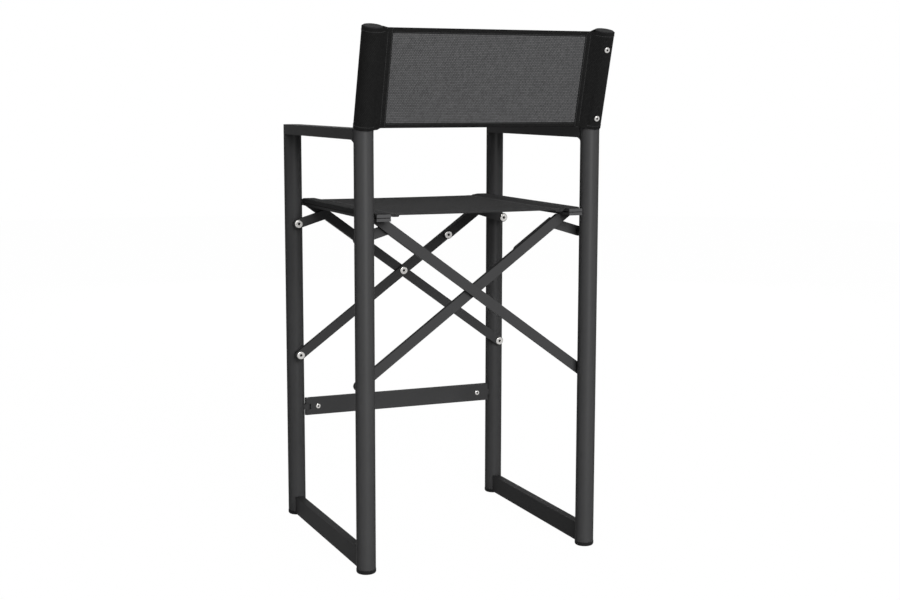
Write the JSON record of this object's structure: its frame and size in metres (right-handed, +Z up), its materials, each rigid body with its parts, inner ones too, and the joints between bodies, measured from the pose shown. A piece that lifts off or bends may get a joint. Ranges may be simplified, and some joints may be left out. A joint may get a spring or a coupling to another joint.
{
  "type": "director chair",
  "caption": "Bar-height folding director chair with tube side frames, crossed bars, bent stay links, fabric sling seat, mesh back and a footrest that swings aside.",
  "frame": {"origin": "on the floor, under the middle of the chair's box", "axes": "+Z up, +X to the sitter's left, +Y to the rear (the sitter faces -Y)"},
  "size_m": [0.5476, 0.5754, 1.1091],
  "materials": {
    "coat": "fine-textured charcoal powder coat on aluminium",
    "plastic": "matt black moulded plastic",
    "cap_grey": "satin grey moulded plastic",
    "nickel": "bright nickel-plated steel",
    "steel": "plain steel rod",
    "seat_cloth": "tight dark charcoal woven sling",
    "sleeve_cloth": "black woven cloth, sewn",
    "mesh_cloth": "grey open mesh"
  },
  "bodies": {
    "left_frame": {"front_leg_left": "coat", "rear_leg_left": "coat", "post_bend_left": "coat", "back_post_left": "coat", "arm_left": "coat", "runner_left": "coat", "front_foot_left": "plastic", "rear_foot_left": "plastic", "post_cap_left": "plastic", "bar_bolts_left": "nickel", "link_bolts_left": "nickel", "bar_spacers_left": "plastic", "link_spacers_left": "plastic", "back_sleeve_left": "sleeve_cloth", "back_panel": "mesh_cloth", "hinge_lug": "coat", "hinge_pin": "steel"},
    "right_scissor": {"front_bar_from_left": "coat", "rear_bar_from_left": "coat", "seat_rail_right": "coat", "seat_rod_right": "steel", "rail_caps_right": "cap_grey", "seat_sling": "seat_cloth"},
    "left_scissor": {"front_bar_from_right": "coat", "rear_bar_from_right": "coat", "seat_rail_left": "coat", "seat_rod_left": "steel", "rail_caps_left": "cap_grey", "centre_bolts": "nickel", "centre_washers": "plastic"},
    "right_frame": {"front_leg_right": "coat", "rear_leg_right": "coat", "post_bend_right": "coat", "back_post_right": "coat", "arm_right": "coat", "runner_right": "coat", "front_foot_right": "plastic", "rear_foot_right": "plastic", "post_cap_right": "plastic", "bar_bolts_right": "nickel", "link_bolts_right": "nickel", "bar_spacers_right": "plastic", "link_spacers_right": "plastic", "back_sleeve_right": "sleeve_cloth", "sleeve_screws": "nickel", "catch_lug": "coat"},
    "left_front_link": {"link_front_left": "coat", "link_pin_front_left": "nickel"},
    "left_rear_link": {"link_rear_left": "coat", "link_pin_rear_left": "nickel"},
    "right_front_link": {"link_front_right": "coat", "link_pin_front_right": "nickel"},
    "right_rear_link": {"link_rear_right": "coat", "link_pin_rear_right": "nickel"},
    "footrest": {"footrest_bar": "coat", "footrest_screws": "nickel", "hinge_block": "coat", "catch_block": "coat"}
  },
  "joints": [
    {"name": "fold", "type": "hinge", "parent": "left_frame", "child": "right_scissor", "pos_m": [0.2525, 0, 0.382], "axis": [0, 1, 0], "range_deg": [0, 38.14], "deforming": ["seat_sling", "back_panel"]},
    {"name": "cross_pivot", "type": "hinge", "parent": "right_scissor", "child": "left_scissor", "pos_m": [0, 0, 0.5665], "axis": [0, 1, 0], "range_deg": [-81.69, 0]},
    {"name": "right_leg_pivot", "type": "hinge", "parent": "left_scissor", "child": "right_frame", "pos_m": [-0.2525, 0, 0.382], "axis": [0, 1, 0], "range_deg": [0, 38.16]},
    {"name": "left_front_stay", "type": "hinge", "parent": "left_frame", "child": "left_front_link", "pos_m": [0.2525, -0.23117, 0.683], "axis": [0, 1, 0], "range_deg": [0, 80.04]},
    {"name": "left_rear_stay", "type": "hinge", "parent": "left_frame", "child": "left_rear_link", "pos_m": [0.2525, 0.17483, 0.683], "axis": [0, 1, 0], "range_deg": [0, 80.04]},
    {"name": "right_front_stay", "type": "hinge", "parent": "right_frame", "child": "right_front_link", "pos_m": [-0.2525, -0.21967, 0.683], "axis": [0, 1, 0], "range_deg": [-80.04, 0]},
    {"name": "right_rear_stay", "type": "hinge", "parent": "right_frame", "child": "right_rear_link", "pos_m": [-0.2525, 0.16333, 0.683], "axis": [0, 1, 0], "range_deg": [-80.04, 0]},
    {"name": "footrest_swing", "type": "hinge", "parent": "left_frame", "child": "footrest", "pos_m": [0.22675, -0.26117, 0.254], "axis": [0, 0, 1], "range_deg": [-90.02, 0]}
  ],
  "couplings": [
    {"joint": "cross_pivot", "follows": "fold", "ratio": -2.1413},
    {"joint": "right_leg_pivot", "follows": "fold", "ratio": 1},
    {"joint": "left_front_stay", "follows": "fold", "ratio": 2.098},
    {"joint": "left_rear_stay", "follows": "fold", "ratio": 2.098},
    {"joint": "right_front_stay", "follows": "fold", "ratio": -2.098},
    {"joint": "right_rear_stay", "follows": "fold", "ratio": -2.098},
    {"joint": "footrest_swing", "follows": "fold", "ratio": -2.3597}
  ]
}
